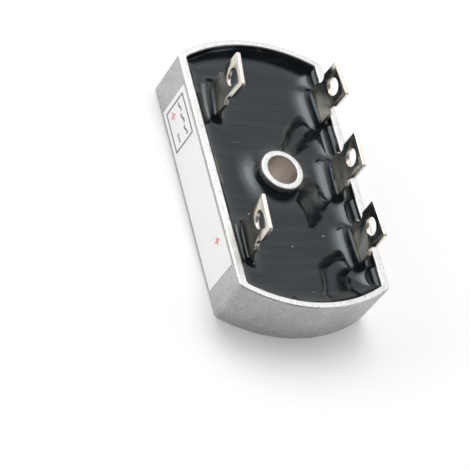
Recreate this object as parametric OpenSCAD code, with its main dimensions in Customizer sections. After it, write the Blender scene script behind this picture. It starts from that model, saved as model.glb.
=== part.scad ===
// Three-phase bridge rectifier module: six diode dice in a barrel-shaped aluminium case,
// potted in resin, with five upright lug terminals and one screw hole through a boss.
// Millimetres, +Z up. The origin is on the screw hole's axis, in the mounting face.
// +Y runs along the case, towards alternating input 1; the alternating inputs are on +X.

/* [Case] */
// Length of the case over its round ends
case_l = 68; // [62:0.5:76]
// Width of the case over its flat sides
case_w = 36; // [34:0.5:42]
// Height of the case, from the mounting face to the rim
case_h = 13; // [12.5:0.25:16]
// Thickness of the floor under the circuit
floor_t = 3; // [2:0.25:3.5]
// Thickness of the flat side walls
side_wall = 1.8; // [1.2:0.1:2.2]
// Thickness of the round end walls
end_wall = 1.5; // [1.2:0.1:2.4]
// Radius of the four upright outer corners
corner_r = 1.5; // [0.8:0.1:2.5]
// Radius of the four upright corners inside the cavity
cavity_corner_r = 0.9; // [0.4:0.1:2]
// Width of the eased edge round the rim and the mounting face
edge_ease = 0.25; // [0.1:0.05:0.4]

/* [Screw boss] */
// Diameter of the boss in the middle of the case
boss_d = 10; // [9:0.25:11]
// Diameter of the screw hole
bore_d = 7; // [5:0.1:7.5]
// Height of the rim above the boss's machined face
boss_drop = 0.15; // [0:0.05:0.5]

/* [Insulator and copper] */
// Thickness of the ceramic insulator
insulator_t = 0.8; // [0.5:0.1:1]
// Gap between the insulator's edge and the cavity wall or the boss
insulator_gap = 0.5; // [0.2:0.1:0.8]
// Thickness of the two direct-current bus plates
bus_t = 1; // [0.6:0.1:1.2]
// Width of a bus plate where the dice are soldered
bus_w = 7.8; // [7:0.1:8.4]
// Gap between a bus plate and the side wall
bus_gap = 1.2; // [0.8:0.1:1.6]
// Length that a bus plate runs on past its outermost die or terminal
bus_overrun = 1; // [0.4:0.1:1.5]
// Thickness of the links that join the dice in pairs
link_t = 0.8; // [0.5:0.1:1]
// Clearance between the boss and the eye of the middle link
eye_gap = 1.4; // [1:0.1:1.8]
// Width of the copper round the eye
eye_wall = 2.2; // [1.6:0.1:2.6]

/* [Diode dice] */
// Side of a square die
die_w = 6.4; // [5:0.1:6.8]
// Thickness of a die with its solder
die_t = 0.5; // [0.3:0.05:0.8]
// Spacing of the dice on the positive bus plate
positive_die_pitch = 8.5; // [8:0.1:9]

/* [Terminals] */
// Spacing of the terminals in a row, and of the dice on the negative bus plate
terminal_pitch = 18; // [16:0.25:19]
// Width of a terminal blade
terminal_w = 8.6; // [7.5:0.1:9]
// Thickness of the terminal metal
terminal_t = 0.8; // [0.6:0.05:1.1]
// Height of the terminal tips above the mounting face
terminal_top = 22.9; // [21:0.1:25]
// Distance between the alternating-current blades and the side wall
ac_inset = 2.25; // [1.8:0.05:2.6]
// Distance between the direct-current blades and the side wall
dc_inset = 4.45; // [3:0.05:4.8]
// Step that the terminals' hand placement is counted in; 0 puts them in line
stray = 0.1; // [0:0.02:0.14]
// Length of the flat foot that is soldered down
foot_l = 4.2; // [3:0.1:5]
// Inner radius of the fold between foot and blade
fold_r = 0.5; // [0.3:0.05:0.8]
// Size of the eased corners at a blade's tip
tip_ease = 0.25; // [0.1:0.05:0.6]
// Diameter of the lug hole
lug_hole_d = 3.95; // [3:0.05:4.5]
// Depth of the lug hole's centre below the tip
lug_hole_drop = 3.4; // [2.9:0.1:3.8]
// Radius of the round notch in each edge of a blade
notch_r = 1.65; // [1:0.05:2]
// Depth that the notch cuts into the edge
notch_depth = 0.85; // [0.4:0.05:1]
// Depth of the notch's centre below the tip
notch_drop = 6.35; // [6:0.05:7]

/* [Resin] */
// Depth of the level resin below the rim
resin_drop = 3; // [2.5:0.1:3.4]
// Depth below the rim at which the resin lets go of the wall
wall_bare = 0.35; // [0.2:0.05:1]
// Height that the resin climbs up the boss
boss_climb = 2.2; // [1:0.1:2.3]
// Height that the resin climbs up a blade
blade_climb = 2; // [1:0.1:2.2]
// Thickness of the resin film at the top of its climb up a blade
blade_film = 0.1; // [0.05:0.01:0.2]
// Radius of the hollow between the level resin and what it climbs
climb_r = 4.5; // [3.2:0.1:6]

/* [Label] */
// Length of the label on the side wall
label_l = 44.8; // [30:0.1:50]
// Height of the label
label_h = 11; // [6:0.1:11.2]
// Thickness of the label
label_t = 0.1; // [0.05:0.01:0.2]
// Height of the label's lower edge above the mounting face
label_rise = 1; // [0.5:0.1:1.5]
// Distance that the label sits off the middle, towards -Y
label_shift = 0.9; // [0:0.1:3]

/* [Hidden] */
$fn = 96;
cut = 1;                          // how far a cutting tool reaches past the metal
fold_steps = 8;                   // flats that the arc of a fold is made of
climb_dip = climb_r / 150;        // depth of the hollows' lowest line in the level resin
cavity_l = case_l - 2 * end_wall;
cavity_w = case_w - 2 * side_wall;
wall_x = cavity_w / 2;            // inner face of a side wall

// Levels of the stacked circuit, from the floor up
bus_z = floor_t + insulator_t;
die_z = bus_z + bus_t;
link_z = die_z + die_t;
ac_seat_z = link_z + link_t;
resin_z = case_h - resin_drop;
wall_climb = resin_drop - wall_bare;

// Lines that the circuit is laid out on
bus_x_out = wall_x - bus_gap;
bus_x_in = bus_x_out - bus_w;
die_x = (bus_x_out + bus_x_in) / 2;
ac_x = wall_x - ac_inset;
dc_x = wall_x - dc_inset;
eye_r = boss_d / 2 + eye_gap;

// The terminals are set by hand: [x, y, seat height, side of the case, turn, lean].
// Turn is about the upright axis and lean is towards +X, both in degrees.
TERMINALS = [
    [ac_x + 4 * stray, terminal_pitch, ac_seat_z, 1, 2.4, 1.5],
    [ac_x - 3 * stray, -6 * stray, ac_seat_z, 1, -2.3, 0],
    [ac_x - stray, -terminal_pitch + 2 * stray, ac_seat_z, 1, 1.9, -2.5],
    [-dc_x + 6 * stray, terminal_pitch + 6 * stray, die_z, -1, -6.6, 3.5],
    [-dc_x - 6 * stray, -terminal_pitch + 8 * stray, die_z, -1, -3.2, -4]
];
PHASES = [0, 1, 2];
NEGATIVE = 3;
POSITIVE = 4;

// Y of phase 0, 1 or 2 in a row with this spacing
function phase_y(phase, pitch) = (1 - phase) * pitch;

// Centre of the rounded corner where a flat side meets a round end
function corner_centre(l, w, r) =
    let (x = w / 2 - r)
    [x, sqrt(pow(l / 2 - r, 2) - pow(x, 2))];

// Angle, from +X, of the point where a rounded corner runs into a round end
function corner_angle(l, w, r) =
    let (c = corner_centre(l, w, r))
    atan2(c.y, c.x);

// Barrel outline: a circle of diameter l cut off by two flats w apart, corners rounded
module barrel(l, w, r) {
    c = corner_centre(l, w, r);
    tangent_x = l / 2 * cos(corner_angle(l, w, r));
    square([w, 2 * c.y], center = true);
    intersection() {
        circle(d = l);
        square([2 * tangent_x, l], center = true);
    }
    for (sx = [-1, 1], sy = [-1, 1])
        translate([sx * c.x, sy * c.y])
            circle(r);
}

// Runs a small profile round a barrel outline. The profile's X is 0 on the outline and
// positive outwards, and its Y stands up.
module along_barrel(l, w, r) {
    c = corner_centre(l, w, r);
    a = corner_angle(l, w, r);
    for (side = [0, 180])
        rotate([0, 0, side]) {
            translate([w / 2, c.y, 0])
                rotate([90, 0, 0])
                    linear_extrude(2 * c.y)
                        children();
            rotate([0, 0, a])
                rotate_extrude(angle = 180 - 2 * a)
                    translate([l / 2, 0])
                        children();
            translate([c.x, c.y, 0])
                rotate_extrude(angle = a)
                    translate([r, 0])
                        children();
            translate([c.x, -c.y, 0])
                rotate([0, 0, -a])
                    rotate_extrude(angle = a)
                        translate([r, 0])
                            children();
        }
}

// Section of the cutter that eases a square edge
module ease_section() {
    rotate(45)
        square(edge_ease * sqrt(2), center = true);
}

module case_cavity(height) {
    difference() {
        linear_extrude(height)
            barrel(cavity_l, cavity_w, cavity_corner_r);
        translate([0, 0, -cut])
            cylinder(d = boss_d, h = height + 2 * cut);
    }
}

module case() {
    color("gainsboro")
        difference() {
            linear_extrude(case_h)
                barrel(case_l, case_w, corner_r);
            translate([0, 0, floor_t])
                case_cavity(case_h);
            translate([0, 0, case_h - boss_drop])
                cylinder(d = boss_d + 2 * cut, h = case_h);
            translate([0, 0, -cut])
                cylinder(d = bore_d, h = case_h + 2 * cut);
            for (z = [0, case_h])
                translate([0, 0, z])
                    along_barrel(case_l, case_w, corner_r)
                        ease_section();
            translate([0, 0, case_h])
                along_barrel(cavity_l, cavity_w, cavity_corner_r)
                    ease_section();
            translate([0, 0, case_h - boss_drop])
                rotate_extrude()
                    translate([boss_d / 2, 0])
                        ease_section();
            for (z = [0, case_h - boss_drop])
                translate([0, 0, z])
                    rotate_extrude()
                        translate([bore_d / 2, 0])
                            ease_section();
        }
}

module insulator() {
    color("ivory")
        translate([0, 0, floor_t])
            linear_extrude(insulator_t)
                difference() {
                    barrel(
                        cavity_l - 2 * insulator_gap,
                        cavity_w - 2 * insulator_gap,
                        cavity_corner_r
                    );
                    circle(d = boss_d + 2 * insulator_gap);
                }
}

// Rectangle from one corner to the opposite one
module plate(from, to) {
    translate(from)
        square(to - from);
}

// Strip under the positive dice, running on to the positive terminal's foot
module positive_bus() {
    foot_end = TERMINALS[POSITIVE].y - terminal_w / 2 - bus_overrun;
    die_end = positive_die_pitch + die_w / 2 + bus_overrun;
    color("peru")
        translate([0, 0, bus_z])
            linear_extrude(bus_t)
                plate([-bus_x_out, foot_end], [-bus_x_in, die_end]);
}

// Strip under the negative dice, with an arm across the case to the negative terminal
module negative_bus() {
    die_end = terminal_pitch + die_w / 2 + bus_overrun;
    arm_y = TERMINALS[NEGATIVE].y;
    arm_half = terminal_w / 2 + bus_overrun / 2;
    color("peru")
        translate([0, 0, bus_z])
            linear_extrude(bus_t) {
                plate([bus_x_in, -die_end], [bus_x_out, die_end]);
                plate([-bus_x_out, arm_y - arm_half], [bus_x_out, arm_y + arm_half]);
            }
}

module die(x, y) {
    color("dimgray")
        translate([x, y, die_z + die_t / 2])
            cube([die_w, die_w, die_t], center = true);
}

module positive_die(phase) {
    die(-die_x, phase_y(phase, positive_die_pitch));
}

module negative_die(phase) {
    die(die_x, phase_y(phase, terminal_pitch));
}

// Pads of a link: one on a positive die, and one on a negative die under a terminal
module link_pads(left_y, right_y) {
    plate([-bus_x_out, left_y - die_w / 2], [-bus_x_in, left_y + die_w / 2]);
    plate([bus_x_in, right_y - terminal_w / 2], [bus_x_out, right_y + terminal_w / 2]);
}

// An outer link slants from the middle of its left pad's side to that of its right pad
module outer_link_outline() {
    left_y = positive_die_pitch;
    right_y = terminal_pitch;
    link_pads(left_y, right_y);
    polygon([
        [-bus_x_in, left_y],
        [bus_x_in, right_y - die_w / 2],
        [bus_x_in, right_y],
        [-bus_x_in, left_y + die_w / 2]
    ]);
}

// The middle link runs straight across and opens into an eye round the boss
module middle_link_outline() {
    difference() {
        union() {
            link_pads(0, 0);
            plate([-bus_x_out, -die_w / 2], [bus_x_out, die_w / 2]);
            circle(eye_r + eye_wall);
        }
        circle(eye_r);
    }
}

module link(phase) {
    color("peru")
        translate([0, 0, link_z])
            linear_extrude(link_t)
                if (phase == 1)
                    middle_link_outline();
                else
                    mirror([0, phase == 2 ? 1 : 0])
                        outer_link_outline();
}

// Points on an arc about the fold's centre, between two angles from +X
function fold_arc(r, from, to) = [
    for (i = [0 : fold_steps])
        let (angle = from + (to - from) * i / fold_steps)
        [0, terminal_t + fold_r] + r * [cos(angle), sin(angle)]
];

// Side view of a terminal: the foot runs towards -X, and the fold turns the metal up into
// a blade of this length that leans by this angle
module terminal_section(blade_l, lean) {
    along = [sin(lean), cos(lean)];
    outer = fold_arc(fold_r + terminal_t, -90, -lean);
    inner = fold_arc(fold_r, -lean, -90);
    polygon(concat(
        [[-foot_l, 0]],
        outer,
        [outer[fold_steps] + blade_l * along, inner[0] + blade_l * along],
        inner,
        [[-foot_l, terminal_t]]
    ));
}

// Front view of what is cut from a blade, with the tip on the X axis: the lug hole, the two
// notches and the two tip corners
module blade_cuts() {
    corner_out = cut / sqrt(2) - tip_ease / 2;
    translate([0, -lug_hole_drop])
        circle(d = lug_hole_d);
    for (side = [-1, 1]) {
        translate([side * (terminal_w / 2 + notch_r - notch_depth), -notch_drop])
            circle(notch_r);
        translate([side * (terminal_w / 2 + corner_out), corner_out])
            rotate(45)
                square(2 * cut, center = true);
    }
}

// Folded terminal: the middle of its blade stands over the origin, its foot points to -X
module terminal_form(seat_z, lean) {
    fold_z = terminal_t + fold_r;
    blade_l = (terminal_top - seat_z - fold_z) / cos(lean);
    translate([-fold_r - terminal_t / 2, 0, 0])
        difference() {
            translate([0, terminal_w / 2, 0])
                rotate([90, 0, 0])
                    linear_extrude(terminal_w)
                        terminal_section(blade_l, lean);
            translate([0, 0, fold_z])
                rotate([0, lean, 0])
                    translate([fold_r - cut, 0, blade_l])
                        rotate([90, 0, 90])
                            linear_extrude(terminal_t + 2 * cut)
                                blade_cuts();
        }
}

// Puts a child where a terminal stands, turned as that terminal is
module at_terminal(index) {
    t = TERMINALS[index];
    translate([t[0], t[1], t[2]])
        rotate([0, 0, t[4]])
            children();
}

module terminal(index) {
    t = TERMINALS[index];
    color("silver")
        at_terminal(index)
            mirror([t[3] < 0 ? 1 : 0, 0, 0])
                terminal_form(t[2], t[3] * t[5]);
}

// Section of climbing resin: X is 0 on the climbed face, and the hollow opens towards +X.
// The hollow dips a little into the level resin, so the two surfaces cross.
module climb_section(climb) {
    reach = sqrt(pow(climb_r, 2) - pow(climb_r - climb_dip - climb, 2));
    difference() {
        translate([-cut, -cut])
            square([reach + cut, climb + cut]);
        translate([reach, climb_r - climb_dip])
            circle(climb_r);
    }
}

// Section of the resin that climbs both faces of metal this thick
module two_sided_climb(thickness) {
    half = thickness / 2 + blade_film;
    translate([-half, -cut])
        square([2 * half, blade_climb + cut]);
    for (side = [0, 1])
        mirror([side, 0])
            translate([half, 0])
                climb_section(blade_climb);
}

// Resin that climbs a blade on all four sides, mitred at the corners
module blade_climb_form() {
    span = 2 * terminal_w;
    intersection() {
        translate([0, span / 2, 0])
            rotate([90, 0, 0])
                linear_extrude(span)
                    two_sided_climb(terminal_t);
        translate([-span / 2, 0, 0])
            rotate([90, 0, 90])
                linear_extrude(span)
                    two_sided_climb(terminal_w);
    }
}

// Puts a child where a blade passes through the level resin
module at_blade_base(index) {
    t = TERMINALS[index];
    rise = resin_z - t[2] - terminal_t - fold_r;
    translate([t[0], t[1], 0])
        rotate([0, 0, t[4]])
            translate([rise * tan(t[5]), 0, 0])
                children();
}

// The poured resin before the circuit is taken out of it
module resin_block() {
    intersection() {
        translate([0, 0, floor_t])
            case_cavity(case_h - floor_t);
        union() {
            translate([-case_w / 2, -case_l / 2, 0])
                cube([case_w, case_l, resin_z]);
            translate([0, 0, resin_z]) {
                for (side = [0, 180])
                    rotate([0, 0, side])
                        translate([wall_x, -case_l / 2, 0])
                            rotate([90, 0, 180])
                                linear_extrude(case_l)
                                    climb_section(wall_climb);
                rotate_extrude()
                    translate([cavity_l / 2, 0])
                        mirror([1, 0])
                            climb_section(wall_climb);
                rotate_extrude()
                    translate([boss_d / 2, 0])
                        climb_section(boss_climb);
                for (index = [0 : len(TERMINALS) - 1])
                    at_blade_base(index)
                        blade_climb_form();
            }
        }
    }
}

module resin() {
    color("black")
        difference() {
            resin_block();
            insulator();
            positive_bus();
            negative_bus();
            for (phase = PHASES) {
                positive_die(phase);
                negative_die(phase);
                link(phase);
            }
            for (index = [0 : len(TERMINALS) - 1])
                terminal(index);
        }
}

module label() {
    color("white")
        translate([-case_w / 2 - label_t, -label_l / 2 - label_shift, label_rise])
            cube([label_t, label_l, label_h]);
}

case();
insulator();
positive_bus();
negative_bus();
link(0);  // link_1
link(1);  // link_2
link(2);  // link_3
positive_die(0);  // positive_die_1
positive_die(1);  // positive_die_2
positive_die(2);  // positive_die_3
negative_die(0);  // negative_die_1
negative_die(1);  // negative_die_2
negative_die(2);  // negative_die_3
terminal(0);  // ac_terminal_1
terminal(1);  // ac_terminal_2
terminal(2);  // ac_terminal_3
terminal(NEGATIVE);  // negative_terminal
terminal(POSITIVE);  // positive_terminal
resin();
label();
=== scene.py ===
"""Three-phase bridge rectifier: a barrel-shaped aluminium case potted with black resin, with
five upright lug terminals, a screw boss in the middle and a paper label on one flat side.

The frame is the part's own: metres, +Z up, the origin on the screw hole's axis in the mounting
face, +Y along the case and the three alternating inputs on +X. Shapes are worked out in
millimetres and put into their meshes in metres.
"""

import math

import bmesh
import bpy
import numpy as np
from mathutils import Matrix


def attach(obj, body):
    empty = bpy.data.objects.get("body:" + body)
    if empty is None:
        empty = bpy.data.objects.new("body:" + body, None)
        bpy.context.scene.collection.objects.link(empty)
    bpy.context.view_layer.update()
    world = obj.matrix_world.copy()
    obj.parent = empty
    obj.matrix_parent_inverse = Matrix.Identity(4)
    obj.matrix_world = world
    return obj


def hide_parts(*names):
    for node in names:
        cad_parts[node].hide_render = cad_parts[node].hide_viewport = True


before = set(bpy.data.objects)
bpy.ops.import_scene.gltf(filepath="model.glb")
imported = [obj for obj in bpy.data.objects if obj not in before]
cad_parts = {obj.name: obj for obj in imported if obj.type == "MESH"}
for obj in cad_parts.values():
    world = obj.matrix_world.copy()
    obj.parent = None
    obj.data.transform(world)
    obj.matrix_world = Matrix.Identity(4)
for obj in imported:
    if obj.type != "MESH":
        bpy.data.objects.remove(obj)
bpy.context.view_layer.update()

MM = 0.001

# ---------------------------------------------------------------- sizes, in millimetres
CASE_L, CASE_W, CASE_H = 68.0, 36.0, 13.0
SIDE_WALL, END_WALL, FLOOR_T = 1.8, 1.5, 3.0
CORNER_R, CAVITY_CORNER_R = 1.5, 0.9
EASE, BOSS_EASE = 0.25, 0.42          # round edges of the case, and round the boss's face
CAVITY_L, CAVITY_W = CASE_L - 2 * END_WALL, CASE_W - 2 * SIDE_WALL
BOSS_R, BORE_R, BOSS_TOP = 5.0, 3.5, 12.85
CASE_BEARING = math.atan2(28.0, 17.25)          # of the corner that the case's outline turns
CAVITY_BEARING = math.atan2(27.65, 15.75)
HOLD = 0.06                           # from a round edge to the ring that keeps a flat flat
ROUND_STEPS = 6
CASE_ANGLES, RESIN_ANGLES, RESIN_RINGS = 880, 700, 134
RESIN_Z = 10.0                        # level of the resin away from everything it climbs
TUCK = 0.03                           # how far the resin reaches into the boss and the wall
CAPILLARY = 2.0                       # length that sets how the liquid resin climbs
WALL_CLIMB, BOSS_CLIMB, BLADE_CLIMB = 2.62, 1.42, 2.0
BLADE_TAPER = 0.2                     # how much less it climbs towards a blade's ends
SWELL, RIPPLE = 0.008, 0.01           # slow unevenness of the cured surface
BLADE_W, BLADE_T, BLADE_EASE = 8.6, 0.8, 0.08
WET_Z = RESIN_Z + 1.2                 # level at which a leaning blade's place is taken
TERMINALS = {                         # x, y, turn about Z, lean towards +X, fold height
    "ac_terminal_1": (14.35, 18.0, 2.4, 1.5, 7.4),
    "ac_terminal_2": (13.65, -0.6, -2.3, 0.0, 7.4),
    "ac_terminal_3": (13.85, -17.8, 1.9, -2.5, 7.4),
    "negative_terminal": (-11.15, 18.6, -6.6, 3.5, 6.1),
    "positive_terminal": (-12.35, -17.2, -3.2, -4.0, 6.1),
}
LABEL_L, LABEL_H, LABEL_T = 44.8, 11.0, 0.1
LABEL_Y, LABEL_Z = -0.9, 6.5          # middle of the label on the flat side
LABEL_CORNER_R, LABEL_EASE = 0.35, 0.04
STAGE_R, STAGE_T, STAGE_GAP = 1500.0, 2.0, 0.02    # floor under the part

# the label's print: middle along Y and Z, then length and height
PRINT_FRAME, FRAME_LINE = (15.15, 6.42, 10.35, 8.65), 0.45
WAVE_YS, WAVE_Z = (18.25, 15.3, 12.35), 8.2
WAVE_PERIOD, WAVE_RISE, WAVE_REACH = 2.9, 0.30, 1.27
MINUS = (12.45, 4.7, 2.3, 0.46)
PLUS = (18.0, 4.75, 2.1, 0.5)
TERMINAL_PLUS = (-15.9, 8.9, 1.9, 0.46)

# dust on the resin: x, y, radius; and a scratch: middle, half length, cosine and sine of its turn
SPECKS = ((-1.1, -17.4, 0.17), (7.2, -14.7, 0.20), (0.7, -28.6, 0.13), (-12.1, -22.3, 0.17))
SCRATCH_X, SCRATCH_Y, SCRATCH_REACH, SCRATCH_TURN = -7.8, 8.4, (0.7, 1.1), (0.99, 0.12)

# ---------------------------------------------------------------- colours
# a pair is the dark and the light end of a mottled colour
BLASTED = (0.29, 0.29, 0.286), (0.67, 0.67, 0.66)
MILLED = (0.37, 0.37, 0.365), (0.78, 0.78, 0.77)
# the first colour here is the bore's bright drilled metal, tinted warm as a painted reflection
# the second colour here is a painted dark reflection of the resin, put on the boss's side
BORE_METAL_AND_PAINTED_WARM_REFLECTION, PAINTED_DARK_REFLECTION, NICKED = (0.80, 0.74, 0.69), (0.05, 0.05, 0.05), (0.20, 0.19, 0.18)
RESIN_BLACK = (0.0030, 0.0055, 0.0090), (0.0170, 0.0215, 0.0245)
RESIN_GLOSS, DUST = (0.88, 0.98, 1.0, 1), (0.55, 0.55, 0.54)
TIN_FLAT = (0.53, 0.507, 0.434), (0.78, 0.75, 0.672)
TIN_EDGE = (0.80, 0.765, 0.71), (0.76, 0.53, 0.42)         # tin, and copper that shows through
# darker colour that the tin turns halfway to near the resin
TIN_NEAR_RESIN = (0.42, 0.40, 0.34)
PAPER = (0.90, 0.895, 0.88), (0.97, 0.965, 0.955)
BLACK_INK, RED_INK = (0.035, 0.035, 0.038), (0.72, 0.07, 0.12)
ALUMINA = (0.74, 0.73, 0.70), (0.86, 0.85, 0.83)
COPPER = (0.72, 0.36, 0.22), (0.88, 0.52, 0.36)
SILICON = (0.05, 0.052, 0.06), (0.11, 0.115, 0.13)
FLOOR_GREY, FLOOR_LIFT = ((0.89, 0.89, 0.89), (0.91, 0.91, 0.91)), (0.24, 0.24, 0.24)

# ---------------------------------------------------------------- lights
# directions point from the part to the light; a soft light fades in between two cosines of the
# angle from its direction
BACKDROP = (0.447, 0.844, 0.298)
OVERHEAD, OVERHEAD_STRENGTH = ((-0.010, 0.475, 0.880), 0.86, 0.985), 3.0
SIDE_PANEL, SIDE_STRENGTH = ((-0.863, 0.421, 0.281), 0.90, 0.985), 3.6
LOW_PANEL, LOW_STRENGTH = ((0.806, -0.584, 0.101), 0.93, 0.985), 1.3
ROOM_WHITE, ROOM_FILL = 1.02, 0.11


# ---------------------------------------------------------------- shader maths
class Wire:
    """A socket that takes part in sums: each operator adds a Math node to its finish."""

    def __init__(self, finish, socket):
        self.finish, self.socket = finish, socket

    def maths(self, operation, *values):
        return self.finish.node("ShaderNodeMath", {"operation": operation}, values)

    def __add__(self, other): return self.maths("ADD", self, other)
    def __radd__(self, other): return self.maths("ADD", other, self)
    def __sub__(self, other): return self.maths("SUBTRACT", self, other)
    def __rsub__(self, other): return self.maths("SUBTRACT", other, self)
    def __mul__(self, other): return self.maths("MULTIPLY", self, other)
    def __truediv__(self, other): return self.maths("DIVIDE", self, other)
    def __abs__(self): return self.maths("ABSOLUTE", self)
    def at_least(self, other): return self.maths("MAXIMUM", self, other)
    def sine(self): return self.maths("SINE", self)

    def step(self, low, high):
        """0 below low and 1 above high, with a smooth turn between them."""
        return self.finish.node(
            "ShaderNodeMapRange", {"interpolation_type": "SMOOTHSTEP"}, (self, low, high)
        )


class Finish:
    """A material under construction, with its patterns in millimetres of Object coordinates."""

    def __init__(self, name, tree=None):
        self.material = None
        if tree is None:
            self.material = bpy.data.materials.new(name)
            self.material.use_nodes = True
            tree = self.material.node_tree
        self.tree = tree
        tree.nodes.clear()

    def node(self, kind, settings=None, values=(), out=0):
        """A node of a type: its settings first, then its sockets, by order or by name."""
        made = self.tree.nodes.new(kind)
        for key, value in (settings or {}).items():
            setattr(made, key, value)
        pairs = values.items() if isinstance(values, dict) else enumerate(values)
        for key, value in pairs:
            if isinstance(value, Wire):
                self.tree.links.new(value.socket, made.inputs[key])
            else:
                made.inputs[key].default_value = value
        return Wire(self, made.outputs[out]) if len(made.outputs) else None

    def place(self, scale=(1, 1, 1), turn=(0, 0, 0)):
        """Object coordinates in millimetres, scaled and turned."""
        point = self.node("ShaderNodeTexCoord", out="Object")
        return self.node("ShaderNodeMapping", {}, {
            "Vector": point, "Scale": tuple(1000 * s for s in scale), "Rotation": turn})

    def axes(self, point):
        """The three coordinates of a point as separate wires."""
        first = self.node("ShaderNodeSeparateXYZ", {}, (point,))
        outputs = first.socket.node.outputs
        return [Wire(self, outputs[i]) for i in range(3)]

    def noise(self, point, scale, detail=2.0, rough=0.5):
        """Noise around 0.5, with scale for the number of its lumps in a millimetre."""
        return self.node("ShaderNodeTexNoise", {}, {
            "Vector": point, "Scale": scale, "Detail": detail, "Roughness": rough})

    def dot(self, point, way):
        """Dot product with a fixed vector."""
        return self.node("ShaderNodeVectorMath", {"operation": "DOT_PRODUCT"}, (point, way),
                         out="Value")

    def ray(self, *kinds):
        """1 for rays of any of the kinds, such as "Is Camera Ray", and 0 for the rest."""
        seen = self.node("ShaderNodeLightPath", out=kinds[0])
        for kind in kinds[1:]:
            seen = seen.at_least(self.node("ShaderNodeLightPath", out=kind))
        return seen

    def mix(self, share, first, second):
        """Colour mix; share runs from the first colour to the second."""
        made = self.tree.nodes.new("ShaderNodeMix")
        made.data_type = "RGBA"
        sockets = (made.inputs[0], made.inputs[6], made.inputs[7])
        for socket, value in zip(sockets, (share, first, second)):
            if isinstance(value, Wire):
                self.tree.links.new(value.socket, socket)
            elif isinstance(value, (int, float)):
                socket.default_value = value
            else:
                socket.default_value = (*value, 1)
        return Wire(self, made.outputs[2])

    def bump(self, height, strength, reach):
        """Bump from a height, with reach for the metres that a height of 1 stands for."""
        return self.node("ShaderNodeBump", {}, {
            "Height": height, "Strength": strength, "Distance": reach})

    def surface(self, **values):
        """Principled shader and output; a name such as Base_Color stands for a socket."""
        values = {key.replace("_", " "): value for key, value in values.items()}
        shader = self.node("ShaderNodeBsdfPrincipled", {}, values)
        self.node("ShaderNodeOutputMaterial", {}, {"Surface": shader})
        return self.material


# ---------------------------------------------------------------- finishes
def case_finish():
    """Aluminium: blasted grey walls with a few nicks near the rim, and bright milled metal on the
    rim, the boss's face and the mounting face. The bore is drilled bright, with a painted warm
    reflection in its colour, and a painted dark reflection of the resin darkens the boss's side."""
    f = Finish("blasted_aluminium")
    point = f.place()
    x, y, z = f.axes(point)
    off_axis = x * x + y * y
    bore = 1 - off_axis.step(BORE_R ** 2 + 0.15, BORE_R ** 2 + 0.45)
    top_face = z.step(BOSS_TOP - 0.11, BOSS_TOP - 0.01)
    mounting_face = 1 - z.step(0.05, 0.15)
    milled = top_face.at_least(mounting_face).at_least(bore)
    grain = f.noise(point, 2.2, 3, 0.65)
    fine = f.noise(point, 6.0, 2, 0.6)
    cloud = f.noise(point, 0.14, 2, 0.5)
    tone = (grain - 0.5) * 0.9 + (fine - 0.5) * 0.6 + (cloud - 0.5) * 0.35
    wall = f.mix((tone + 0.5).step(0, 1), *BLASTED)
    lines = f.noise(f.place((1, 0.12, 1)), 3.0, 2, 0.5)
    shine = f.mix((lines - 0.5) * 0.8 + grain, *MILLED)
    near_rim = z.step(CASE_H - 0.8, CASE_H - 0.4)
    nick = f.noise(point, 1.6, 1, 0.4).step(0.70, 0.75) * near_rim
    # Painted dark reflection of the resin: the boss's side is made near-black from the cavity floor
    # to just above where the resin climbs it.
    band_mask = (1 - off_axis.step(BOSS_R ** 2 + 0.5, BOSS_R ** 2 + 1.5)) * (1 - bore)
    band_mask = band_mask * z.step(FLOOR_T - 0.2, FLOOR_T + 0.2)
    band_mask = band_mask * (1 - z.step(RESIN_Z + 0.8, RESIN_Z + 2.1))
    metal = f.mix(band_mask * 0.7, f.mix(milled, wall, shine), PAINTED_DARK_REFLECTION)
    # The bore's colour is bright drilled metal with a painted warm reflection in it.
    colour = f.mix(nick * 0.6, f.mix(bore, metal, BORE_METAL_AND_PAINTED_WARM_REFLECTION), NICKED)
    rough = 0.50 - milled * 0.14 + (fine - 0.5) * 0.2
    relief = grain * (1 - milled * 0.7) + fine * (1 - milled * 0.6) + lines * milled * 0.2
    return f.surface(Base_Color=colour, Metallic=1.0, Roughness=rough,
                     Normal=f.bump(relief - nick * 0.4, 0.45, 0.00012))


def resin_finish():
    """Black potting resin: glossy, a little wavy, with specks of dust and a faint scratch, and a
    smeared film that leaves it duller in streaks across the case."""
    f = Finish("potting_resin")
    point = f.place()
    x, y = f.axes(point)[:2]
    pale = 0.0
    for speck_x, speck_y, radius in SPECKS:
        off = ((x - speck_x) * (x - speck_x) + (y - speck_y) * (y - speck_y)) / radius ** 2
        pale = (1 - off.step(0.3, 1.4)) * 0.8 + pale
    cosine, sine = SCRATCH_TURN
    along = (x - SCRATCH_X) * cosine + (y - SCRATCH_Y) * sine
    across = (y - SCRATCH_Y) * cosine - (x - SCRATCH_X) * sine
    scratch = (1 - abs(across).step(0.02, 0.07)) * (1 - abs(along).step(*SCRATCH_REACH))
    pale = pale + scratch * 0.3
    band_mask = f.noise(f.place((0.08, 0.8, 1), (0, 0, 0.1)), 0.8, 3, 0.62).step(0.42, 0.74)
    colour = f.mix(pale, f.mix(band_mask, *RESIN_BLACK), DUST)
    smear = f.noise(f.place((0.10, 1, 1), (0, 0, 0.1)), 0.9, 3, 0.6)
    rough = 0.05 + (smear - 0.45).at_least(0) * 0.30 + pale * 0.3
    wave = f.noise(point, 0.12, 1, 0.4)
    fine = f.noise(point, 2.2, 2, 0.5)
    return f.surface(Base_Color=colour, Roughness=rough, IOR=1.49, Specular_Tint=RESIN_GLOSS,
                     Normal=f.bump(wave + fine * 0.008, 0.06, 0.0003))


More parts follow.
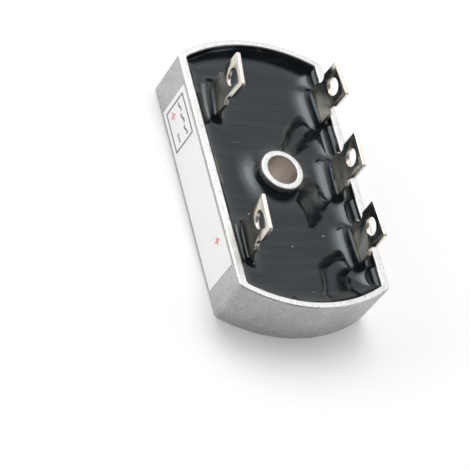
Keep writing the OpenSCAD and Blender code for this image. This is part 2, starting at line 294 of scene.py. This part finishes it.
def tin_finish():
    """Tin plate over copper: satin flats with faint rolling lines, darker and rougher towards the
    resin, and punched edges where some copper shows through."""
    f = Finish("tin_plate")
    point = f.place()
    # Darker and rougher towards the resin, fading out between 2.5 and 7.5 mm above its level.
    near_resin = 1 - f.axes(point)[2].step(RESIN_Z + 2.5, RESIN_Z + 7.5)
    punched = f.node("ShaderNodeAttribute", {"attribute_name": "punched"}, out="Fac")
    rolled = f.noise(f.place((2.0, 2.0, 0.25)), 2.4, 2, 0.5)
    cloud = f.noise(point, 0.35, 2, 0.5)
    fleck = f.noise(point, 2.6, 2, 0.55)
    flat = f.mix(cloud * 0.75 + rolled * 0.25, *TIN_FLAT)
    edge = f.mix(fleck.step(0.46, 0.66) * 0.75, *TIN_EDGE)
    colour = f.mix(punched * 0.9, f.mix(near_resin * 0.5, flat, TIN_NEAR_RESIN), edge)
    rough = 0.215 + (cloud - 0.5) * 0.07 + (rolled - 0.5) * 0.05 + punched * 0.08 + near_resin * 0.12
    return f.surface(Base_Color=colour, Metallic=1.0, Roughness=rough,
                     Normal=f.bump(rolled + cloud + fleck * punched, 0.04, 0.00008))


def label_finish():
    """White paper with a thin printed frame round the circuit's signs: three waves for the
    alternating inputs, plus and minus for the outputs, and a plus by the positive terminal."""
    f = Finish("printed_label")
    point = f.place()
    y, z = f.axes(point)[1:]

    def bar(middle_y, middle_z, length, height, soft=0.06):
        """1 inside an upright rectangle on the label, with a soft edge."""
        dy = abs(y - middle_y) - length / 2
        dz = abs(z - middle_z) - height / 2
        return 1 - dy.at_least(dz).step(-soft, soft)

    def plus(middle_y, middle_z, length, line):
        """1 inside a plus sign of two crossed bars."""
        return bar(middle_y, middle_z, length, line).at_least(bar(middle_y, middle_z, line, length))

    middle_y, middle_z, length, height = PRINT_FRAME
    inside = bar(middle_y, middle_z, length - 2 * FRAME_LINE, height - 2 * FRAME_LINE)
    black = bar(*PRINT_FRAME) * (1 - inside)
    for middle in WAVE_YS:
        wave = ((y - middle) * (2 * math.pi / WAVE_PERIOD)).sine()
        line = 1 - abs(z - WAVE_Z + wave * WAVE_RISE).step(0.22, 0.34)
        ends = 1 - abs(y - middle).step(WAVE_REACH - 0.05, WAVE_REACH + 0.05)
        black = black.at_least(line * ends)
    black = black.at_least(bar(*MINUS))
    red = plus(*PLUS).at_least(plus(*TERMINAL_PLUS))
    fibre = f.noise(point, 3.0, 4, 0.65)
    cloud = f.noise(point, 0.12, 2, 0.5)
    worn = f.noise(point, 6.0, 2, 0.6).step(0.20, 0.38)
    paper = f.mix(fibre * 0.5 + cloud * 0.5, *PAPER)
    ink = f.mix(black * worn * 0.92, paper, BLACK_INK)
    return f.surface(Base_Color=f.mix(red * worn * 0.8, ink, RED_INK),
                     Roughness=0.5 - black * 0.1, Coat_Weight=0.25, Coat_Roughness=0.3,
                     Normal=f.bump(fibre + cloud * 2, 0.12, 0.0001))


def plain_finish(name, colours, metallic, rough, scale, stretch=(1, 1, 1)):
    """A mottled finish for the parts inside the resin."""
    f = Finish(name)
    spots = f.noise(f.place(stretch), scale, 3, 0.6)
    fine = f.noise(f.place(), scale * 4, 2, 0.5)
    return f.surface(Base_Color=f.mix(spots, *colours), Metallic=metallic,
                     Roughness=rough + (fine - 0.5) * 0.2, Normal=f.bump(fine, 0.2, 0.00005))


FINISH = {
    "case": case_finish(),
    "resin": resin_finish(),
    "terminal": tin_finish(),
    "label": label_finish(),
    "ceramic": plain_finish("alumina_ceramic", ALUMINA, 0, 0.55, 1.2),
    "copper": plain_finish("copper_strip", COPPER, 1, 0.34, 0.9, (1, 0.2, 1)),
    "silicon": plain_finish("silicon_die", SILICON, 0.6, 0.22, 0.7),
}


# ---------------------------------------------------------------- outlines and meshes
def barrel(angle, length, width, corner):
    """Distance from the screw hole's axis to a barrel outline. On the flat sides it is half the
    width over |cos|, on the round ends half the length, and between the two tangent points the
    far crossing with the corner circle, c.d + sqrt(r^2 - (c x d)^2)."""
    x, y = np.abs(np.cos(angle)), np.abs(np.sin(angle))
    cx = width / 2 - corner
    cy = math.sqrt((length / 2 - corner) ** 2 - cx ** 2)
    flat = width / 2 / np.maximum(x, 1e-9)
    arc = cx * x + cy * y + np.sqrt(np.maximum(corner ** 2 - (cx * y - cy * x) ** 2, 0))
    bearing = np.arctan2(y, x)
    return np.where(bearing < math.atan2(cy, width / 2), flat,
                    np.where(bearing > math.atan2(cy, cx), length / 2, arc))


def crowded_angles(count, crowds):
    """Angles all round, closer together near some of them: the inverse of the running sum of
    1 + gain exp(-((angle - middle) / spread)^2)."""
    fine = np.linspace(-math.pi, math.pi, 20001)
    density = np.ones_like(fine)
    for middle, spread, gain in crowds:
        off = (fine - middle + math.pi) % (2 * math.pi) - math.pi
        density += gain * np.exp(-(off / spread) ** 2)
    total = np.concatenate([[0], np.cumsum((density[1:] + density[:-1]) / 2)])
    return np.interp(np.arange(count) / count * total[-1], total, fine)


def corner_crowds(bearing, spread, gain):
    """Crowds of angles at the four corners of a barrel outline, given the first one's bearing."""
    return [(side * bearing + half * math.pi, spread, gain)
            for side, half in ((1, 0), (-1, 0), (-1, 1), (1, -1))]


def rings_to_mesh(name, rings, wrap=True):
    """Quads between rings of points (ring, place, xyz). With wrap the last ring joins the first,
    and otherwise the first and last rings are closed with a flat face. Turned so that the
    enclosed volume is positive, so faces point outwards."""
    rings = np.asarray(rings, float)
    m, n = rings.shape[:2]
    rows = np.arange(m if wrap else m - 1)[:, None]
    i, j = rows * n, np.arange(n)[None, :]
    k = (rows + 1) % m * n
    j2 = (j + 1) % n
    quads = np.stack(np.broadcast_arrays(i + j, i + j2, k + j2, k + j), -1).reshape(-1, 4)
    co = rings.reshape(-1, 3)
    a, b, c, d = (co[quads[:, t]] for t in range(4))
    volume = np.einsum("ij,ij->", a, np.cross(b, c)) + np.einsum("ij,ij->", a, np.cross(c, d))
    if not wrap:
        for ring, sign in ((rings[0], -1), (rings[-1], 1)):
            p, q, r = ring[:1], ring[1:-1], ring[2:]
            volume += sign * np.einsum("ij,ij->", np.broadcast_to(p, q.shape), np.cross(q, r))
    faces = quads.tolist()
    if not wrap:
        faces += [list(range(n))[::-1], list(range((m - 1) * n, m * n))]
    if volume < 0:
        faces = [face[::-1] for face in faces]
    mesh = bpy.data.meshes.new(name)
    mesh.from_pydata((co * MM).tolist(), [], faces)
    mesh.polygons.foreach_set("use_smooth", np.ones(len(mesh.polygons), bool))
    mesh.update()
    return mesh


def piece(name, mesh, slot, *nodes):
    """Puts a mesh into the scene as a piece that stands for CAD nodes."""
    made = bpy.data.objects.new(name, mesh)
    bpy.context.scene.collection.objects.link(made)
    mesh.materials.clear()
    mesh.materials.append(FINISH[slot])
    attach(made, "root")
    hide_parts(*nodes)
    return made


# ---------------------------------------------------------------- case
def case_rings():
    """The case's section carried round its axis. The section runs up the bore, over the boss's
    face, down its side, across the cavity's floor, up the cavity wall, over the rim, down the
    outside and back under the mounting face. Every edge in the air is a quarter round, with a
    ring close to each of its ends so that the flats stay flat, and the long walls have rings
    part way up."""
    angle = crowded_angles(CASE_ANGLES, corner_crowds(CASE_BEARING, spread=0.032, gain=9.0))
    rings = []

    def outer(inset):
        return barrel(angle, CASE_L - 2 * inset, CASE_W - 2 * inset, CORNER_R - inset)

    def cavity(grow):
        return barrel(angle, CAVITY_L + 2 * grow, CAVITY_W + 2 * grow, CAVITY_CORNER_R + grow)

    def ring(radius, z):
        """One turn of points, at one radius or at a radius for each angle."""
        rings.append(np.stack([radius * np.cos(angle), radius * np.sin(angle),
                               np.full_like(angle, z)], -1))

    # a quarter round: how far it has turned in at each step, and how far it still has to go
    quarter = [(1 - math.cos(t), 1 - math.sin(t)) for t in np.linspace(0, math.pi / 2, ROUND_STEPS)]

    # bore, from the mounting face to the boss's face
    ring(BORE_R + EASE + HOLD, 0)
    for done, left in quarter:
        ring(BORE_R + EASE * left, EASE * done)
    for z in (EASE + HOLD, 4.0, 8.0, BOSS_TOP - EASE - HOLD):
        ring(BORE_R, z)
    for done, left in quarter:
        ring(BORE_R + EASE * done, BOSS_TOP - EASE * left)
    ring(BORE_R + EASE + HOLD, BOSS_TOP)
    # boss, from its face to the cavity's floor
    ring(BOSS_R - BOSS_EASE - HOLD, BOSS_TOP)
    for done, left in quarter:
        ring(BOSS_R - BOSS_EASE * left, BOSS_TOP - BOSS_EASE * done)
    ring(BOSS_R, BOSS_TOP - BOSS_EASE - HOLD)
    ring(BOSS_R, FLOOR_T)
    # cavity, from its floor to the rim
    for z in (FLOOR_T, 8.0, CASE_H - EASE - HOLD):
        ring(cavity(0), z)
    for done, left in quarter:
        ring(cavity(EASE * done), CASE_H - EASE * left)
    ring(cavity(EASE + HOLD), CASE_H)
    # outside, from the rim to the mounting face
    ring(outer(EASE + HOLD), CASE_H)
    for done, left in quarter:
        ring(outer(EASE * left), CASE_H - EASE * done)
    for z in (CASE_H - EASE - HOLD, 8.5, 4.5, EASE + HOLD):
        ring(outer(0), z)
    for done, left in quarter:
        ring(outer(EASE * done), EASE * left)
    ring(outer(EASE + HOLD), 0)
    return rings


piece("aluminium_case", rings_to_mesh("aluminium_case", case_rings()), "case", "case")


# ---------------------------------------------------------------- resin
def climb(distance, height):
    """Height of the resin above its level at a distance from an upright face that it wets up to
    a height: the meniscus x / a = arccosh(2a / h) - sqrt(4 - h^2 / a^2), less the same at the
    face, where a is the capillary length, read backwards from a table."""
    h = np.geomspace(height, 1e-4, 900)
    x = CAPILLARY * (np.arccosh(2 * CAPILLARY / h) - np.sqrt(4 - (h / CAPILLARY) ** 2))
    return np.interp(distance, x - x[0], h, right=0.0)


def blade_distance(x, y, values):
    """Distance of points from a blade where it leaves the resin, which is the length of what is
    left of the point, in the blade's own turned axes, past half its thickness and half its
    width; and the place along the blade, which is 1 and -1 at its ends."""
    bx, by, turn, lean, fold = values
    cosine, sine = math.cos(math.radians(turn)), math.sin(math.radians(turn))
    bx = bx + (WET_Z - fold) * math.tan(math.radians(lean))
    u = (x - bx) * cosine + (y - by) * sine
    v = -(x - bx) * sine + (y - by) * cosine
    past_flat = np.maximum(np.abs(u) - BLADE_T / 2, 0)
    past_end = np.maximum(np.abs(v) - BLADE_W / 2, 0)
    return np.hypot(past_flat, past_end), 2 * v / BLADE_W


def wall_distances(x, y):
    """Distances from the two flat sides and from the round ends of the cavity."""
    return CAVITY_W / 2 - np.abs(x), CAVITY_L / 2 - np.hypot(x, y)


def resin_height(x, y):
    """Height of the cured resin: its level, plus the cube norm of the climbs up the wall, the
    boss and the blades, plus a slow swell of a hundredth of a millimetre. A blade's climb is
    h / (1 + taper v^4) at the place v along it."""
    flat, end = wall_distances(x, y)
    wall = (climb(flat, WALL_CLIMB) ** 6 + climb(end, WALL_CLIMB) ** 6) ** (1 / 6)
    total = wall ** 3 + climb(np.hypot(x, y) - BOSS_R, BOSS_CLIMB) ** 3
    for values in TERMINALS.values():
        gap, along = blade_distance(x, y, values)
        total = total + (climb(gap, BLADE_CLIMB) / (1 + BLADE_TAPER * along ** 4)) ** 3
    swell = SWELL * np.sin(x / 2.6 + 0.6) * np.cos(y / 4.3) + RIPPLE * np.sin((x + y) / 6.0)
    return RESIN_Z + total ** (1 / 3) + swell


def resin_rings():
    """Grid of angle round the boss and share of the way from the boss to the cavity wall. The
    shares crowd where the surface bends: along each line outwards they are the inverse of the
    running sum of a density that rises near the wall, the boss and the blades, by a steep part
    and a wide part whose reaches are in millimetres. Two lower rings close the shell at the
    cavity's floor."""
    bearings = [(math.atan2(v[1], v[0]), v) for v in TERMINALS.values()]
    crowds = [(b, BLADE_W / math.hypot(v[0], v[1]) * 0.75, 1.4) for b, v in bearings]
    crowds += corner_crowds(CAVITY_BEARING, spread=0.03, gain=5.0)
    angle = crowded_angles(RESIN_ANGLES, crowds)[:, None]
    fine = np.linspace(0, 1, 501)[None, :]
    inner = BOSS_R - TUCK
    reach = barrel(angle, CAVITY_L + 2 * TUCK, CAVITY_W + 2 * TUCK, CAVITY_CORNER_R) - inner
    r = inner + reach * fine
    x, y = r * np.cos(angle), r * np.sin(angle)
    flat, end = wall_distances(x, y)
    near = np.minimum(np.minimum(flat, end), r - BOSS_R)
    density = 1 + 7 * np.exp(-np.maximum(near, 0) / 0.5) + 2 * np.exp(-np.maximum(near, 0) / 2)
    for values in TERMINALS.values():
        gap = blade_distance(x, y, values)[0]
        density = density + 5 * np.exp(-gap / 0.6) + 1.5 * np.exp(-gap / 2)
    total = np.concatenate([np.zeros((len(angle), 1)),
                            np.cumsum((density[:, 1:] + density[:, :-1]) / 2, 1)], 1)
    goal = np.linspace(0, 1, RESIN_RINGS)[None, :] * total[:, -1:]
    below = np.clip((total[:, None, :] <= goal[:, :, None]).sum(-1) - 1, 0, fine.size - 2)
    start = np.take_along_axis(total, below, 1)
    step = np.take_along_axis(total, below + 1, 1) - start
    share = (below + (goal - start) / step) / (fine.size - 1)
    r = inner + reach * share
    x, y = r * np.cos(angle), r * np.sin(angle)
    top = np.stack([x, y, resin_height(x, y)], -1).transpose(1, 0, 2)
    low = top[[-1, 0]].copy()
    low[..., 2] = FLOOR_T + 0.05
    return np.concatenate([top, low])


piece("potting_resin", rings_to_mesh("potting_resin", resin_rings()), "resin", "resin")


# ---------------------------------------------------------------- terminals
def terminal_piece(node, values):
    """The terminal's own solid, merged and with its flats made whole, so that a fine bevel can
    run along its edges. The attribute punched is 1 on faces whose normal stands square to the
    blade's flats, which are the edges that the punch has cut."""
    name = "lug_" + node
    build = bmesh.new()
    build.from_mesh(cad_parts[node].data)
    bmesh.ops.remove_doubles(build, verts=build.verts, dist=1e-6)
    bmesh.ops.dissolve_limit(build, angle_limit=math.radians(0.6), verts=build.verts,
                             edges=build.edges)
    mesh = bpy.data.meshes.new(name)
    build.to_mesh(mesh)
    build.free()
    normal = np.zeros(len(mesh.polygons) * 3)
    mesh.polygons.foreach_get("normal", normal)
    middle = np.zeros(len(mesh.polygons) * 3)
    mesh.polygons.foreach_get("center", middle)
    turn, lean, fold = math.radians(values[2]), math.radians(values[3]), values[4]
    across = np.array([math.cos(turn) * math.cos(lean), math.sin(turn) * math.cos(lean),
                       -math.sin(lean)])
    square = np.abs(normal.reshape(-1, 3) @ across) < 0.5
    above = middle.reshape(-1, 3)[:, 2] > fold * MM
    punched = mesh.attributes.new("punched", "FLOAT", "FACE")
    punched.data.foreach_set("value", (square & above).astype(np.float32))
    mesh.polygons.foreach_set("use_smooth", np.ones(len(mesh.polygons), bool))
    made = piece(name, mesh, "terminal", node)
    bevel = made.modifiers.new("worn_edges", "BEVEL")
    bevel.width, bevel.segments = BLADE_EASE * MM, 2
    bevel.limit_method, bevel.angle_limit = "ANGLE", math.radians(32)
    bevel.harden_normals = True


for terminal_node, terminal_values in TERMINALS.items():
    terminal_piece(terminal_node, terminal_values)


# ---------------------------------------------------------------- label
def label_rings():
    """The label's outline, a rectangle with small round corners, carried from the side wall to
    the paper's face with a thin eased edge."""
    rings = []
    side, r = -CASE_W / 2, LABEL_CORNER_R
    for x, inset in ((side, 0), (side - LABEL_T * 0.6, 0), (side - LABEL_T, LABEL_EASE)):
        corners = []
        for quarter, (sy, sz) in enumerate(((1, 1), (-1, 1), (-1, -1), (1, -1))):
            t = np.linspace(quarter * math.pi / 2, (quarter + 1) * math.pi / 2, 9)
            corners.append(np.stack([
                np.full_like(t, x),
                LABEL_Y + sy * (LABEL_L / 2 - inset - r) + r * np.cos(t),
                LABEL_Z + sz * (LABEL_H / 2 - inset - r) + r * np.sin(t)], -1))
        rings.append(np.concatenate(corners))
    return rings


label_mesh = rings_to_mesh("paper_label", label_rings(), wrap=False)
label_mesh.polygons.foreach_set("use_smooth", np.zeros(len(label_mesh.polygons), bool))
piece("paper_label", label_mesh, "label", "label")


# ---------------------------------------------------------------- parts inside the resin
INSIDE = {"insulator": "ceramic", "bus": "copper", "link": "copper", "die": "silicon"}
for node_name, node_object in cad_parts.items():
    for word, slot_name in INSIDE.items():
        if word in node_name:
            node_object.data.materials.clear()
            node_object.data.materials.append(FINISH[slot_name])


# ---------------------------------------------------------------- floor, light and camera
def floor():
    """A round pale floor 3 m across, flush under the mounting face. It glows a little for the
    rays that show it as white, and not for those that light the part."""
    angle = np.linspace(0, 2 * math.pi, 97)[:-1]
    rings = [np.stack([r * np.cos(angle), r * np.sin(angle), np.full_like(angle, z)], -1)
             for r, z in ((STAGE_R, -STAGE_T), (STAGE_R, -STAGE_GAP))]
    made = bpy.data.objects.new("floor", rings_to_mesh("floor", rings, wrap=False))
    made.data.polygons.foreach_set("use_smooth", np.zeros(len(made.data.polygons), bool))
    f = Finish("pale_floor")
    seen = f.ray("Is Camera Ray", "Is Glossy Ray", "Is Transmission Ray")
    colour = f.mix(f.noise(f.place(), 0.02, 2, 0.5), *FLOOR_GREY)
    made.data.materials.append(f.surface(
        Base_Color=colour, Roughness=0.85, Specular_IOR_Level=0.1,
        Emission_Color=f.mix(seen, (0, 0, 0), FLOOR_LIFT), Emission_Strength=1.0))
    bpy.context.scene.collection.objects.link(made)


def studio():
    """A room that is white behind the part and low down all round, and dark overhead and behind
    the camera, with three soft lights in it: one overhead, whose -X half is cut off so that the
    blades' dark faces don't see it, one beside the label and one low at the near right. The
    camera sees plain white."""
    world = bpy.data.worlds.new("studio")
    world.use_nodes = True
    f = Finish("studio", world.node_tree)
    way = f.node("ShaderNodeTexCoord", out="Generated")
    side, depth, height = f.axes(way)
    far = f.dot(way, BACKDROP)
    white = far.step(0.36, 0.64) * (1.45 - far.step(0.62, 0.86) * 0.45)
    horizon = (1 - height.step(0.10, 0.26)) * (0.15 + depth.step(-0.75, 0.15) * 0.85)

    def soft_light(centre, low, high):
        """1 towards a direction, and 0 from the angle whose cosine is low."""
        return f.dot(way, centre).step(low, high)

    overhead = soft_light(*OVERHEAD)
    overhead = overhead * overhead * side.step(-0.20, -0.08)
    room = white.at_least(horizon) * ROOM_WHITE + overhead * OVERHEAD_STRENGTH
    room = room + soft_light(*SIDE_PANEL) * SIDE_STRENGTH
    room = room + soft_light(*LOW_PANEL) * LOW_STRENGTH + ROOM_FILL
    seen = f.ray("Is Camera Ray")
    strength = room * (1 - seen) + seen
    ground = f.node("ShaderNodeBackground", {}, {"Color": (1, 1, 1, 1), "Strength": strength})
    f.node("ShaderNodeOutputWorld", {}, {"Surface": ground})
    bpy.context.scene.world = world


def softbox(name, way, distance, size, radiance):
    """A rectangular lamp that faces the part from a direction."""
    data = bpy.data.lights.new(name, "AREA")
    data.shape, data.size, data.size_y = "RECTANGLE", size[0], size[1]
    data.energy = radiance * math.pi * size[0] * size[1]
    lamp = bpy.data.objects.new(name, data)
    way = np.array(way, float) / np.linalg.norm(way)
    lamp.location = tuple(way * distance)
    x = np.cross((0, 0, 1), way)
    x /= np.linalg.norm(x)
    turn = np.stack([x, np.cross(way, x), way], 1)
    lamp.rotation_mode = "QUATERNION"
    lamp.rotation_quaternion = Matrix(turn.tolist()).to_quaternion()
    bpy.context.scene.collection.objects.link(lamp)


def camera(target, azimuth, elevation, roll, distance, lens):
    """Camera on a sphere round a target. Azimuth 0 looks along +Y, and roll turns the picture."""
    a, e, r = (math.radians(v) for v in (azimuth, elevation, roll))
    back = np.array([math.sin(a) * math.cos(e), -math.cos(a) * math.cos(e), math.sin(e)])
    level = np.array([math.cos(a), math.sin(a), 0.0])
    above = np.cross(back, level)
    right = math.cos(r) * level + math.sin(r) * above
    up = np.cross(back, right)
    data = bpy.data.cameras.new("camera")
    data.sensor_width, data.lens = 36.0, lens
    data.clip_start, data.clip_end = 0.01, 20
    made = bpy.data.objects.new("camera", data)
    place = np.array(target) + back * distance
    made.matrix_world = Matrix(
        [[right[i], up[i], back[i], place[i]] for i in range(3)] + [[0, 0, 0, 1]])
    bpy.context.scene.collection.objects.link(made)
    bpy.context.scene.camera = made


floor()
studio()
softbox("key", way=(0.10, 0.475, 0.87), distance=0.60, size=(0.16, 0.16), radiance=1.5)
camera(target=(-0.014206, -0.015012, 0.010), azimuth=-45.839, elevation=47.831, roll=39.096,
       distance=0.41042, lens=152.107)

bpy.context.scene.view_settings.view_transform = "Standard"
